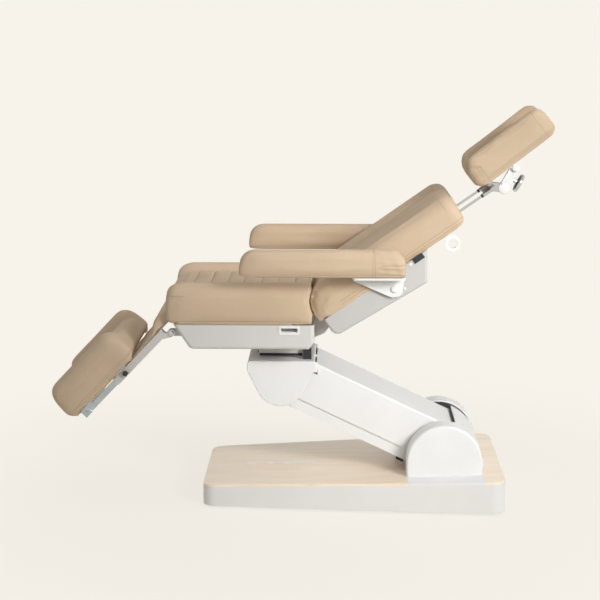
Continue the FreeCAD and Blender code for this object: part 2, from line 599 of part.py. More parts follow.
def build_back():
    """Backrest: frame on the torque shaft, shell, board, cushion, rod sleeves and roll lugs."""
    h = (0.0, -HINGE_DROP)
    level = BACK_REAR - LET_IN
    outline = [(30, level, 4), (350, level, 4), (335, -72, 6), (260, -98, 20), (150, -98, 20), (25, -78, 20)]
    frame = both(prism(outline, 102, 110)) + both(capsule(h, (45, -62), 16, 102, 110))
    frame.append(bar(h, PIN, -110, 110))
    b = (-LEVER * math.sin(math.radians(BACK_ANGLE)), h[1] - LEVER * math.cos(math.radians(BACK_ANGLE)))
    frame += both(capsule(h, b, 16, 18, 26))
    frame.append(bar(b, 8, -26, 26))
    frame.append(bar((310, -62), 10, -103, 103))
    frame.append(bar(ARM_PIVOT, AXLE, -SEAT_HALF - 20, SEAT_HALF + 20))
    add("back_frame", place(welded(frame), BACK_CENTRE, BACK_ANGLE))

    half = SEAT_HALF - 2
    outer = prism([(-70, level, 0), (-70, -107, 30), (314, -132, 12), (381, level, 0)], -half, half)
    outer = softened(outer, 10, lambda e: e.BoundBox.YLength < 0.1 and e.BoundBox.ZMax < -100
                     and e.BoundBox.XLength > 100)
    inner = prism([(-66, -30, 0), (-66, -103, 26), (311, -127.5, 10), (377, -30, 0)], 4 - half, half - 4)
    inner = softened(inner, 7, lambda e: e.BoundBox.YLength < 0.1 and e.BoundBox.ZMax < -95
                     and e.BoundBox.XLength > 100)
    shell = outer.cut(inner).cut(box(-90, 75, -130, 130, -150, 0))
    shell = shell.cut(bar(ARM_PIVOT, AXLE + 0.3, -half - 30, half + 30))
    add("back_shell", place(shell, BACK_CENTRE, BACK_ANGLE))

    def board(gap):
        w = SEAT_HALF - 10 + gap
        return box(62 - gap, BACK_LENGTH - 44 + gap, -w, w, BACK_REAR - 3 * gap, BACK_REAR + PANEL + gap)

    add("back_board", place(board(0), BACK_CENTRE, BACK_ANGLE))

    y = ROD_SPACING / 2
    w = ROD_RADIUS + 5
    top = ROD_LEVEL + ROD_RADIUS + 10
    sleeve = box(250, BACK_LENGTH - 8, y - w, y + w, BACK_REAR + PANEL, top)
    sleeve = softened(sleeve, 4, lambda e: e.BoundBox.XLength > 100 and e.BoundBox.ZMin > top - 0.1)
    bore = Part.makeCylinder(ROD_RADIUS + 0.15, BACK_LENGTH - 156, V(240, y, ROD_LEVEL), V(1, 0, 0))
    add("rod_sleeves", [place(s, BACK_CENTRE, BACK_ANGLE) for s in both(sleeve.cut(bore))])

    heights = (BACK_REAR, 34.0, BACK_ROUND, 66.0, 71.0)
    panel = SEAT_HALF - BOLSTER
    roll = (BACK_ROUND, BACK_ROUND, 14, 0)
    back = cushion(-BACK_ROUND, BACK_LENGTH, SEAT_HALF, heights, panel, roll, (40, 40, 26, 22))
    back = back.cut(board(LET_IN))
    back = back.cut(bar(h, HINGE_ROOM, -114, 114))
    for side in both(box(-BACK_ROUND - 7, 44, 88, 114, -50, 30)):
        back = back.cut(side)
    back = back.cut(box(-BACK_ROUND - 7, 20, -30, 30, -50, -8))
    pocket = box(248, BACK_LENGTH + 44, y - w - 0.4, y + w + 0.4, -50, top + 0.4)
    for side in both(pocket):
        back = back.cut(side)
    add("back_cushion", place(back, BACK_CENTRE, BACK_ANGLE))

    eye = (BACK_LENGTH - 88, -71)
    y = SEAT_HALF - 45
    neck = box(eye[0] - 16, eye[0] + 16, y, y + 10, eye[1] + 15, BACK_REAR)
    lug = welded([bar(eye, ROLL_HOLE + 10.5, y, y + 10), neck]).cut(bar(eye, ROLL_HOLE, y - 5, y + 15))
    add("roll_lugs", [place(s, BACK_CENTRE, BACK_ANGLE) for s in both(lug)])

    top = ARM_PAD_LOW - 0.3
    near = SEAT_HALF + 6
    web = prism([(548, top, 2), (552, top - 22, 8), (A[0] - 8, A[1] - 32, 26), (A[0] + 28, A[1] - 24, 22),
                 (736, top, 2)], near, near + PLATE)
    far = ARM_PAD_Y + ARM_PAD_HALF - 16
    shelf = slab([(548, near, 2), (736, near, 2), (736, far, 14), (548, far, 14)], top - PLATE, top)
    bracket = welded([web, shelf]).cut(bar(A, AXLE + FIT, near - 6, near + 16))
    pad = cushion(ARM_PAD_FROM, ARM_PAD_TO, ARM_PAD_HALF, (ARM_PAD_LOW, 936.0, 960.0, 972.0, 976.0), 22,
                  (58, 56, 16, 6), (14, 10, 6, 4))
    pad.translate(V(0, ARM_PAD_Y, 0))
    add("armrest_bracket_right", bracket)
    add("armrest_bracket_left", mirrored(bracket))
    add("armrest_pad_right", pad)
    add("armrest_pad_left", mirrored(pad))


def build_head():
    """Headrest on two rods, with a link between two knuckles and a clamp knob on the link."""
    u = BACK_LENGTH + 134
    rods = both(Part.makeCylinder(ROD_RADIUS, 365, V(u - 350, ROD_SPACING / 2, ROD_LEVEL), V(1, 0, 0)))
    y = ROD_SPACING / 2 + ROD_RADIUS + 6
    w = ROD_RADIUS + 4
    plate = box(u, u + 18, -y, y, ROD_LEVEL - w, ROD_LEVEL + w)
    plate = softened(plate, 4, lambda e: e.BoundBox.YLength < 0.1 and e.BoundBox.XLength > 10)
    ears = both(capsule((u + 10, ROD_LEVEL - 2), KNUCKLE, 16, 13, 20).cut(bar(KNUCKLE, 6 + FIT, 10, 30)))
    add("head_rods", place(welded(rods + [plate] + ears), BACK_CENTRE, BACK_ANGLE))
    add("head_pin_lower", bar(K1, 6, -22, 22))

    arm = capsule(K1, K2, 17, -12, 12)
    arm = arm.cut(bar(K1, 6 + FIT, -20, 20)).cut(bar(K2, 6 + FIT, -20, 20))
    dx = K2[0] - K1[0]
    dz = K2[1] - K1[1]
    length = math.hypot(dx, dz)
    out = V(dz / length, 0, -dx / length)
    middle = V((K1[0] + K2[0]) / 2, 0, (K1[1] + K2[1]) / 2)
    arm = arm.cut(Part.makeCylinder(6.1, 40, middle + out * 4, out))
    add("head_link", arm)
    wheel = [(0, 5), (6, 5), (6, 34), (33, 34), (36, 37), (36, 45), (33.5, 48), (29, 48), (27, 46), (0, 46)]
    add("head_knob", spun(wheel, middle, out))
    joints["head_knob"] = (middle.x, middle.z)
    directions["head knob"] = (out.x, 0.0, out.z)

    k2 = turned((0, 0), -HEAD_ANGLE, K2[0], K2[1])
    first = k2[0] - 159
    low = k2[1] + 26.5

    def board(gap):
        w = 112 + gap
        ends = (first + 46 - gap, first + HEAD_LENGTH - 66 + gap)
        return box(ends[0], ends[1], -w, w, low - 3 * gap, low + PANEL + gap)

    ears = both(capsule(k2, (k2[0], k2[1] + 16), 13, 13, 20).cut(bar(k2, 6 + FIT, 10, 30)))
    trim = box(first, first + HEAD_LENGTH, -50, 50, low + 1, low + 60)
    ears = [e.cut(trim) for e in ears]
    add("head_plate", place(welded([board(0)] + ears), (0, 0), HEAD_ANGLE))
    add("head_pin_upper", bar(K2, 6, -22, 22))
    heights = (low, low + 80, low + 123, low + 92, low + 84)
    pad = cushion(first, first + HEAD_LENGTH, HEAD_HALF, heights, 84, (52, 60, 34, 28), (42, 46, 30, 24))
    pad = pad.cut(board(LET_IN))
    add("head_cushion", place(pad, (0, 0), HEAD_ANGLE))


def build_legs():
    """Leg rest: outer tubes on the front hinge, sliding inner tubes with board and cushion, clamp knobs."""
    y = LEG_TUBE_Y
    half = LEG_TUBE / 2
    level = LEG_TUBE_LEVEL
    tube = box(-278, -18, y - half, y + half, level - half, level + half)
    tube = softened(tube, 3, lambda e: e.BoundBox.XLength > 100)
    tube = tube.cut(box(-290, 0, y - half + 3, y + half - 3, level - half + 3, level + half - 3))
    tube = tube.cut(bar((-227, level - 2), 5.1, y + half - 6, y + half + 2))
    side = y + half
    lug = [(-44, 9, 2), (-10, -12, 8), (8, -12, 10), (14, 0, 10), (2, 12, 8), (-20, 16, 4), (-44, 16, 2)]
    lug = prism(lug, side - 10, side - 2).cut(bar((0, 0), 8 + FIT, side - 16, side + 4))
    frame = both(tube) + both(lug) + [bar((-250, level), 7, half - y - 0.5, y - half + 0.5)]
    add("leg_tubes", place(welded(frame), LEG_PIVOT, LEG_ANGLE))
    add("leg_pins", both(bar(LEG_PIVOT, 8, side - 22, side + 1)))

    grip = [(0, -2.5), (5, -2.5), (5, 4), (9, 4), (11, 6), (11, 15), (9, 17), (0, 17)]
    knob = spun(grip, V(-227, side, level - 2), V(0, 1, 0))
    knob = place(knob, LEG_PIVOT, LEG_ANGLE)
    add("leg_knob_right", knob)
    add("leg_knob_left", mirrored(knob))
    joints["leg_knob"] = turned(LEG_PIVOT, LEG_ANGLE, -227, level - 2)

    inside = half - 3.3
    slide = box(-446, -128, y - inside, y + inside, level - inside, level + inside)
    slide = slide.cut(box(-440, -100, y - inside + 2, y + inside - 2, level - inside + 2, level + inside - 2))
    rest = level + half + 10.5
    post = box(-446, -395, y - inside, y + inside, level + inside - 1, rest)
    tie = box(-446, -432, inside - y - 1, y - inside + 1, level - 10, level + 10)
    frame = both(slide) + both(post) + [tie]
    add("leg_slides", place(welded(frame), LEG_PIVOT, LEG_ANGLE))

    def board(gap):
        w = LEG_HALF - 10 + gap
        return box(-456 - gap, -186 + gap, -w, w, rest - 3 * gap, rest + PANEL + gap)

    add("leg_board", place(board(0), LEG_PIVOT, LEG_ANGLE))
    heights = (rest, rest + 74, rest + 132, rest + 94, rest + 100)
    pad = cushion(-492, -142, LEG_HALF, heights, LEG_HALF - BOLSTER, (42, 48, 22, 16), (50, 54, 24, 16))
    add("leg_cushion", place(pad.cut(board(LET_IN)), LEG_PIVOT, LEG_ANGLE))


build_base()
build_pedestal()
build_arm()
fixed = set(nodes)
build_carriage()
build_seat()
build_back()
build_head()
build_legs()

# The arm carries the carriage and all above it to the end of its upper link.
rise = V(Q1[0] - CARRIAGE_PIVOT[0], 0, Q1[1] - CARRIAGE_PIVOT[1])
for name in nodes:
    if name not in fixed:
        for shape in nodes[name]:
            shape.translate(rise)

# The origin goes to the middle of the overall box, on the floor.
whole = FreeCAD.BoundBox()
for shapes in nodes.values():
    for shape in shapes:
        whole.add(shape.BoundBox)
shift = V(-(whole.XMin + whole.XMax) / 2, -(whole.YMin + whole.YMax) / 2, -whole.ZMin)
os.makedirs("parts", exist_ok=True)
for name, shapes in nodes.items():
    solids = []
    for shape in shapes:
        for solid in shape.Solids:
            solid = solid.copy()
            solid.translate(shift)
            solids.append(solid)
    result = solids[0] if len(solids) == 1 else Part.makeCompound(solids)
    if not result.isValid():
        print("not valid:", name)
    result.exportStep("parts/" + name + ".step")

print("nodes", len(nodes), "shift", shift)
joints.update({"tilt": TILT_PIVOT, "back": H, "armrest": A, "head lower": K1, "head upper": K2})
joints["leg"] = LEG_PIVOT
lifted = {name: (point[0] + rise.x, point[1] + rise.z) for name, point in joints.items()}
lifted.update({"upper link, base": P1, "lower link, base": P2})
lifted.update({"upper link, carriage": Q1, "lower link, carriage": Q2})
for name, point in lifted.items():
    print("joint", name, round(point[0] + shift.x, 3), round(point[1] + shift.z, 3))
for name, direction in directions.items():
    print("direction", name, [round(value, 6) for value in direction])
print("size", whole.XLength, whole.YLength, whole.ZLength)
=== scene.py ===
import math
import bmesh
import bpy
from mathutils import Matrix, Vector
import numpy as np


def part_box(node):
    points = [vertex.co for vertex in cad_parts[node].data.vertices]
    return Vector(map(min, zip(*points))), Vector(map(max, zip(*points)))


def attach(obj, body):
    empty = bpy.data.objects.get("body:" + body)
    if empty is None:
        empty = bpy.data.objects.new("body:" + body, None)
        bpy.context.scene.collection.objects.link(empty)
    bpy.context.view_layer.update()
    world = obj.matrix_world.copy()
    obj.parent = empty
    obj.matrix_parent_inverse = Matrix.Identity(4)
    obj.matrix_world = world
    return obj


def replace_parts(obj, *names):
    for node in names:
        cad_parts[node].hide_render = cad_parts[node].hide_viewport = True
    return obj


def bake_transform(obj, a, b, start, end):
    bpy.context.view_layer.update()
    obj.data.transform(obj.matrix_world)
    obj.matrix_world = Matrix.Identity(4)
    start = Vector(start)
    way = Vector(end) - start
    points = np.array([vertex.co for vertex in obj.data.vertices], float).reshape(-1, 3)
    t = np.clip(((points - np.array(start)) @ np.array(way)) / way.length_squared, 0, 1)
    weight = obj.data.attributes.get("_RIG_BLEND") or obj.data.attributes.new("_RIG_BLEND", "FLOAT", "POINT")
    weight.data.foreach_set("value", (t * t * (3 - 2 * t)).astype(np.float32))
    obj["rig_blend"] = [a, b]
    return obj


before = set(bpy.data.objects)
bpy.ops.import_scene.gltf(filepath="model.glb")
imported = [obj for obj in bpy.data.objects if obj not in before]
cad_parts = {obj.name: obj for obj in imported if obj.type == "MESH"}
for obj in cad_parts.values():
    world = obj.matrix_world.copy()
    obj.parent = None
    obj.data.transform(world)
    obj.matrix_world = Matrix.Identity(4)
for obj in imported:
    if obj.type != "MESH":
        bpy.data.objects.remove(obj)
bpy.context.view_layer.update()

# Base skirt.
# A wedge-shaped cover of bent steel sheet that stands over the frame,
# powder coated in a satin light grey. Its maker's place is left bare.
SKIRT_GREY = (0.790, 0.782, 0.770)
CLOUD_LOW = 0.3
CLOUD_HIGH = 0.7
foot_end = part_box("base_skirt")[0].x


def open_finish(name, roughness, metal=0.0):
    """A fresh finish, with the coordinates of the piece to lay patterns on."""
    finish = bpy.data.materials.new(name)
    finish.use_nodes = True
    tree = finish.node_tree
    shader = tree.nodes["Principled BSDF"]
    shader.inputs["Roughness"].default_value = roughness
    shader.inputs["Metallic"].default_value = metal
    place = tree.nodes.new("ShaderNodeTexCoord").outputs["Object"]
    return finish, tree, shader, place


def mottle(tree, place, scale, detail=3.0, stretch=(1.0, 1.0, 1.0)):
    """Cloudy variation at so many cells a metre, drawn out along an axis if asked."""
    mapping = tree.nodes.new("ShaderNodeMapping")
    mapping.inputs["Scale"].default_value = stretch
    tree.links.new(place, mapping.inputs["Vector"])
    cloud = tree.nodes.new("ShaderNodeTexNoise")
    cloud.inputs["Scale"].default_value = scale
    cloud.inputs["Detail"].default_value = detail
    tree.links.new(mapping.outputs["Vector"], cloud.inputs["Vector"])
    return cloud.outputs["Fac"]


def tint(tree, shader, pattern, dark, light, low=CLOUD_LOW, high=CLOUD_HIGH):
    """Colour that runs from dark to light with a pattern."""
    tones = tree.nodes.new("ShaderNodeValToRGB")
    for stop, position, colour in zip(tones.color_ramp.elements, (low, high), (dark, light)):
        stop.position = position
        stop.color = (*colour, 1.0)
    tree.links.new(pattern, tones.inputs["Fac"])
    tree.links.new(tones.outputs["Color"], shader.inputs["Base Color"])
    return tones.outputs["Color"]


def gloss(tree, shader, pattern, low, high):
    """Roughness that runs between two values with a pattern."""
    spread = tree.nodes.new("ShaderNodeMapRange")
    spread.inputs["From Min"].default_value = CLOUD_LOW
    spread.inputs["From Max"].default_value = CLOUD_HIGH
    spread.inputs["To Min"].default_value = low
    spread.inputs["To Max"].default_value = high
    tree.links.new(pattern, spread.inputs["Value"])
    tree.links.new(spread.outputs["Result"], shader.inputs["Roughness"])


def relief(tree, shader, pattern, depth, under=None):
    """Fine surface relief of a depth in metres, laid over a coarser one if given."""
    bump = tree.nodes.new("ShaderNodeBump")
    bump.inputs["Strength"].default_value = 1.0
    bump.inputs["Distance"].default_value = depth
    tree.links.new(pattern, bump.inputs["Height"])
    if under is not None:
        tree.links.new(under, bump.inputs["Normal"])
    tree.links.new(bump.outputs["Normal"], shader.inputs["Normal"])
    return bump.outputs["Normal"]


def shade(colour, share):
    """A colour made darker or lighter by a share."""
    return tuple(c * share for c in colour)


def powder_coat(name, colour):
    """Stoved powder paint: orange peel about a millimetre across over a cloudy, satin film."""
    finish, tree, shader, place = open_finish(name, 0.42)
    cloud = mottle(tree, place, 5.0)
    tint(tree, shader, cloud, shade(colour, 0.975), shade(colour, 1.015))
    gloss(tree, shader, mottle(tree, place, 22.0), 0.38, 0.48)
    relief(tree, shader, mottle(tree, place, 850.0, 2.0), 0.00003)
    return finish


def dress(finish, *names):
    """Give a finish to CAD pieces that are shown as they are."""
    for name in names:
        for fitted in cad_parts[name].material_slots:
            fitted.material = finish


dress(powder_coat("grey_powder_coat", SKIRT_GREY), "base_skirt")

# Deck boards.
# Pale maple boards laid lengthwise on the skirt, lacquered satin,
# glued down in front of the pedestal and behind it.
MAPLE_LIGHT = (0.995, 0.880, 0.725)
MAPLE_DARK = (0.940, 0.755, 0.575)


def lacquered_maple(name):
    """Plain-sawn maple: long cloudy figure, fine fibres along the chair, a satin film."""
    finish, tree, shader, place = open_finish(name, 0.36)
    figure = mottle(tree, place, 16.0, 4.0, (0.14, 1.0, 1.0))
    fibre = mottle(tree, place, 130.0, 4.0, (0.035, 1.0, 1.0))
    grain = tree.nodes.new("ShaderNodeMath")
    grain.operation = "MULTIPLY_ADD"
    grain.inputs[1].default_value = 0.6
    tree.links.new(figure, grain.inputs[0])
    tree.links.new(fibre, grain.inputs[2])
    tint(tree, shader, grain.outputs["Value"], MAPLE_DARK, MAPLE_LIGHT, 0.64, 0.94)
    gloss(tree, shader, fibre, 0.32, 0.42)
    relief(tree, shader, fibre, 0.00004)
    shader.inputs["Coat Weight"].default_value = 0.4
    shader.inputs["Coat Roughness"].default_value = 0.22
    shader.inputs["Coat IOR"].default_value = 1.65
    return finish


dress(lacquered_maple("lacquered_maple"), "deck_front", "deck_rear")

# Pedestal plate and inlay strip.
# The plate is white coated sheet let in between the boards, around the foot of the arm;
# the strip is a white plastic profile pressed into a groove on the centre line.
WHITE = (0.830, 0.828, 0.822)
INLAY_WHITE = (0.960, 0.955, 0.945)


def moulded(name, colour, rough=0.44):
    """Injection moulding with a fine spark-eroded grain and a faint flow cloud."""
    finish, tree, shader, place = open_finish(name, rough)
    cloud = mottle(tree, place, 7.0)
    tint(tree, shader, cloud, shade(colour, 0.97), shade(colour, 1.02))
    gloss(tree, shader, mottle(tree, place, 30.0), rough - 0.05, rough + 0.06)
    relief(tree, shader, mottle(tree, place, 1600.0, 2.0), 0.00003)
    return finish


white_coat = powder_coat("white_powder_coat", WHITE)
white_moulding = moulded("white_moulding", WHITE)
dress(white_coat, "pedestal_plate")
dress(moulded("inlay_moulding", INLAY_WHITE, 0.25), "deck_inlay")

# Base frame, feet and control box.
# Square steel tubes welded up and painted grey, four rubber feet on threaded stems,
# and the black motor control box screwed to the cross tube.
FRAME_GREY = (0.30, 0.31, 0.32)
BLACK = (0.022, 0.022, 0.023)
RUBBER_BLACK = (0.018, 0.018, 0.018)


def rubbery(name, colour):
    """Dull moulded rubber with a dusty bloom."""
    finish, tree, shader, place = open_finish(name, 0.75)
    tint(tree, shader, mottle(tree, place, 40.0), colour, shade(colour, 1.5))
    relief(tree, shader, mottle(tree, place, 900.0), 0.00005)
    return finish


painted_frame = powder_coat("frame_paint", FRAME_GREY)
black_moulding = moulded("black_moulding", BLACK, 0.5)
rubber = rubbery("black_rubber", RUBBER_BLACK)
dress(painted_frame, "base_frame")
dress(rubber, "levelling_feet")
dress(black_moulding, "control_box")

# Pedestal bracket and its pins.
# Laser-cut plates welded to a floor plate, bolted to the frame; the pins are turned
# and zinc plated. All of it hides under the cheeks and the hood.
ZINC = (0.46, 0.50, 0.53)


def zinc_plate(name, colour):
    """Blue-passivated zinc plating over drawn steel, with faint spangle."""
    finish, tree, shader, place = open_finish(name, 0.34, 1.0)
    spangle = mottle(tree, place, 60.0, 4.0)
    tint(tree, shader, spangle, shade(colour, 0.88), shade(colour, 1.06))
    gloss(tree, shader, spangle, 0.28, 0.42)
    relief(tree, shader, mottle(tree, place, 700.0, 2.0, (0.2, 1.0, 1.0)), 0.00002)
    return finish


zinc = zinc_plate("zinc_plate", ZINC)
dress(painted_frame, "pedestal_bracket")
dress(zinc, "lower_pins")

# Pedestal cheeks and rear hood.
# Two arched white mouldings clipped over the pivots, and between them a curved
# sheet hood with a black rubber lip that closes the slot behind the arm.
HOOD_EDGE = (893.0, 205.0, 60.0)
LIP_HALF = 122.0
CREASE_ANGLE = 40.0


def spot(x, y, z):
    """A point in millimetres from the base's foot end, the centre line and the floor."""
    return Vector((foot_end + x * 0.001, y * 0.001, z * 0.001))


def along(x, z, angle):
    """A working line in side view: its start, its run and the way out of it."""
    tilt = math.radians(angle)
    run = Vector((math.cos(tilt), 0.0, math.sin(tilt)))
    rise = Vector((-math.sin(tilt), 0.0, math.cos(tilt)))
    return spot(x, 0.0, z), run, rise


def on_line(line, u, y, n):
    """Where a point in millimetres along, across and out of a working line lies."""
    start, run, rise = line
    return start + run * (u * 0.001) + rise * (n * 0.001) + Vector((0.0, y * 0.001, 0.0))


def put(whole, part, move):
    """Carry a part to its place and add it to the whole."""
    bmesh.ops.transform(part, matrix=move, verts=part.verts)
    sketch = bpy.data.meshes.new("sketch")
    part.to_mesh(sketch)
    part.free()
    whole.from_mesh(sketch)
    bpy.data.meshes.remove(sketch)


def block(whole, line, u, y, n, soft):
    """A block with rounded edges between limits in millimetres on a working line."""
    part = bmesh.new()
    bmesh.ops.create_cube(part, size=0.001)
    bmesh.ops.scale(part, vec=(u[1] - u[0], y[1] - y[0], n[1] - n[0]), verts=part.verts)
    bmesh.ops.bevel(part, geom=part.edges[:], offset=soft * 0.001, segments=3, profile=0.5,
                    affect="EDGES", material=-1)
    axes = Matrix((line[1], (0.0, 1.0, 0.0), line[2])).transposed().to_4x4()
    put(whole, part, Matrix.Translation(on_line(line, sum(u) / 2, sum(y) / 2, sum(n) / 2)) @ axes)


def fit(whole, name, finish, body):
    """Make the whole a piece with a finish and hang it on its body."""
    mesh = bpy.data.meshes.new(name)
    whole.to_mesh(mesh)
    whole.free()
    mesh.materials.append(finish)
    mesh.shade_smooth()
    mesh.set_sharp_from_angle(angle=math.radians(CREASE_ANGLE))
    piece = bpy.data.objects.new(name, mesh)
    bpy.context.collection.objects.link(piece)
    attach(piece, body)
    return piece


dress(white_moulding, "cheek_right", "cheek_left")
dress(white_coat, "rear_hood")
lip = bmesh.new()
block(lip, along(*HOOD_EDGE), (85.5, 92.5), (-LIP_HALF, LIP_HALF), (-0.6, 3.6), 1.8)
fit(lip, "hood_lip", rubber, "base")

# Lift arm.
# Two pressed and powder-coated steel covers, one nested in the other, over flat link bars; the linear
# drive lies between the links, and two rubber buffers under the lower cover meet the deck.
LOWER_PIVOT = (843.0, 150.0)
ARM_SLOPE = -25.5
dress(white_coat, "upper_cover", "lower_cover", "upper_link", "lower_link")
dress(black_moulding, "lift_actuator_body")
dress(zinc, "lift_actuator_rod")
lower_arm = along(*LOWER_PIVOT, ARM_SLOPE)
buffers = bmesh.new()
for side in (-1, 1):
    across = sorted((side * 117.0, side * 144.0))
    block(buffers, lower_arm, (-116.0, -88.0), across, (-49.5, -37.0), 2.0)
fit(buffers, "arm_buffers", rubber, "lower_arm")

# Carriage.
# A welded bracket that the links keep level, in a white pick-shaped cover with rolled lips beside
# the arm; two black hinge blocks on top carry the seat, and a short drive tilts it.
dress(white_coat, "carriage_cover", "carriage_bracket")
dress(zinc, "upper_pin", "stub_pins", "tilt_actuator_rod")
dress(black_moulding, "tilt_blocks", "tilt_pins", "tilt_actuator_body")
level = along(0.0, 0.0, 0.0)
lips = bmesh.new()
for side in (-1, 1):
    across = sorted((side * 151.2, side * 166.6))
    block(lips, level, (404.0, 422.5), across, (490.0, 530.0), 4.0)
fit(lips, "carriage_lips", white_coat, "carriage")

# Seat frame and tray.
# Painted side plates with a black edge strip on the tilt pins, inside a pale moulded tray
# with an accessory socket in each side; domed nuts hold the leg hinge pins.
TRAY_GREY = (0.660, 0.648, 0.630)
PLY_LIGHT = (0.62, 0.47, 0.31)
CHROME = (0.60, 0.61, 0.63)
FRAME_PALE = (0.720, 0.710, 0.695)
LEG_HINGE = (-108.0, 655.0)
DOMED_NUT = [(0, 7.5), (4, 7.2), (7, 5.6), (8.6, 3), (9, 1.6), (12, 1.4), (12.4, 0.8), (12.4, -0.6),
             (0, -0.6)]


def plywood(name):
    """Birch plywood: long face grain, dull and open."""
    finish, tree, shader, place = open_finish(name, 0.6)
    grain = mottle(tree, place, 60.0, 4.0, (0.08, 1.0, 1.0))
    tint(tree, shader, grain, shade(PLY_LIGHT, 0.72), PLY_LIGHT)
    gloss(tree, shader, grain, 0.52, 0.7)
    relief(tree, shader, grain, 0.00008)
    return finish


def chrome_plate(name):
    """Bright chromium over polished steel with hairline wipe marks."""
    finish, tree, shader, place = open_finish(name, 0.08, 1.0)
    wipe = mottle(tree, place, 500.0, 2.0, (0.05, 1.0, 1.0))
    tint(tree, shader, mottle(tree, place, 12.0), shade(CHROME, 0.92), CHROME)
    gloss(tree, shader, wipe, 0.07, 0.15)
    return finish


def turned(whole, outline, base, axis, steps=48, ring=False):
    """A turned form: an outline of radii and heights in millimetres, spun about an axis through the base."""
    part = bmesh.new()
    points = [part.verts.new((r * 0.001, 0.0, h * 0.001)) for r, h in outline]
    following = points[1:] + points[:1] if ring else points[1:]
    edges = [part.edges.new(pair) for pair in zip(points, following)]
    bmesh.ops.spin(part, geom=points + edges, cent=(0.0, 0.0, 0.0), axis=(0.0, 0.0, 1.0),
                   dvec=(0.0, 0.0, 0.0), angle=math.tau, steps=steps, use_merge=True)
    bmesh.ops.remove_doubles(part, verts=part.verts, dist=0.00002)
    bmesh.ops.recalc_face_normals(part, faces=part.faces)
    put(whole, part, Matrix.Translation(base) @ axis.to_track_quat("Z", "Y").to_matrix().to_4x4())


pale_moulding = moulded("pale_moulding", TRAY_GREY)
ply = plywood("birch_plywood")
chrome = chrome_plate("chrome_plate")
dress(zinc, "back_actuator_rod", "leg_pins")
dress(powder_coat("seat_frame_paint", FRAME_PALE), "seat_frame")
dress(pale_moulding, "seat_tray")
dress(white_moulding, "socket_right", "socket_left")
dress(ply, "seat_board", "back_board", "leg_board")
dress(black_moulding, "back_actuator_body")
strips = bmesh.new()
nuts = bmesh.new()
for side in (-1, 1):
    across = sorted((side * 99.5, side * 103.0))
    block(strips, level, (206.0, 366.0), across, (540.5, 550.0), 1.2)
    turned(nuts, DOMED_NUT, spot(LEG_HINGE[0], side * 247.0, LEG_HINGE[1]), Vector((0.0, side, 0.0)))
fit(strips, "frame_edge_strips", rubber, "seat")
fit(nuts, "leg_hinge_nuts", chrome, "seat")

# Seat cushion.
# Foam on the board under a sewn cover of beige synthetic leather: two bolsters, a lower middle
# panel with quilted channels across it, a seam at the front corners and a hem at the foot.
LEATHER_LIGHT = (0.630, 0.487, 0.345)
LEATHER_DARK = (0.575, 0.440, 0.308)
# Tone multiplied into the leather along its seams and channels: painted shade.
SEAM_SHADE_TONE = (0.80, 0.77, 0.74)
CHANNEL_FIRST = -0.040
CHANNEL_PITCH = 0.063
CHANNELS = 7
CHANNEL_DEPTH = 0.0055
CHANNEL_SWELL = 0.0025
SEAT_PANEL_HALF = 0.186
SEAT_PANEL_LOW = 0.79
SEAT_FOOT = 0.6921
HEEL_RUN = (0.335, 0.395)
HEEL_DROP = 0.022
HEEL_TOP = 0.752
HEEL_END = 0.4095
FULLER = 0.006
FOOT_DROP = 0.0025
BACK_HINGE = (485.0, 778.0)
ROLL_CLEAR = 0.0912
ROLL_NEAR = 0.101
HEM_SEAM = (0.0012, 0.003)
END_SEAM = (0.0011, 0.003)
PRESSURE = 4.0
CLOTH_STEPS = 20
DRAWN_IN = 0.0025
SWELL = 0.004


def synthetic_leather(name, dark, light):
    """Embossed vinyl leather: fine pebbles, a soft cloudy tone, and painted shade along its drawn-in seams.
    """
    finish, tree, shader, place = open_finish(name, 0.5)
    cloud = mottle(tree, place, 6.0, 4.0)
    tone = tint(tree, shader, cloud, dark, light)
    # Painted shade: the seam layer darkens the leather along drawn-in seams and channels.
    seam = tree.nodes.new("ShaderNodeAttribute")
    seam.attribute_name = "seam"
    seam_shade_mix = tree.nodes.new("ShaderNodeMix")
    seam_shade_mix.data_type = "RGBA"
    seam_shade_mix.blend_type = "MULTIPLY"
    seam_shade_mix.inputs[7].default_value = (*SEAM_SHADE_TONE, 1.0)
    tree.links.new(seam.outputs["Fac"], seam_shade_mix.inputs[0])
    tree.links.new(tone, seam_shade_mix.inputs[6])
    tree.links.new(seam_shade_mix.outputs[2], shader.inputs["Base Color"])
    gloss(tree, shader, mottle(tree, place, 40.0), 0.54, 0.66)
    pebble = tree.nodes.new("ShaderNodeTexVoronoi")
    pebble.feature = "SMOOTH_F1"
    pebble.inputs["Scale"].default_value = 620.0
    tree.links.new(place, pebble.inputs["Vector"])
    soft = relief(tree, shader, mottle(tree, place, 30.0, 3.0), 0.0010)
    relief(tree, shader, pebble.outputs["Distance"], 0.00018, soft)
    shader.inputs["Specular IOR Level"].default_value = 0.12
    return finish


def lay(line, point):
    """A point's place along, across and out of a working line, in metres."""
    start, run, rise = line
    offset = point - start
    return offset.dot(run), point.y, offset.dot(rise)


def settle(piece):
    """Replace a piece's mesh by what its modifiers make of it."""
    made = piece.evaluated_get(bpy.context.evaluated_depsgraph_get())
    shaped = bpy.data.meshes.new_from_object(made)
    piece.modifiers.clear()
    worn = piece.data
    piece.data = shaped
    bpy.data.meshes.remove(worn)


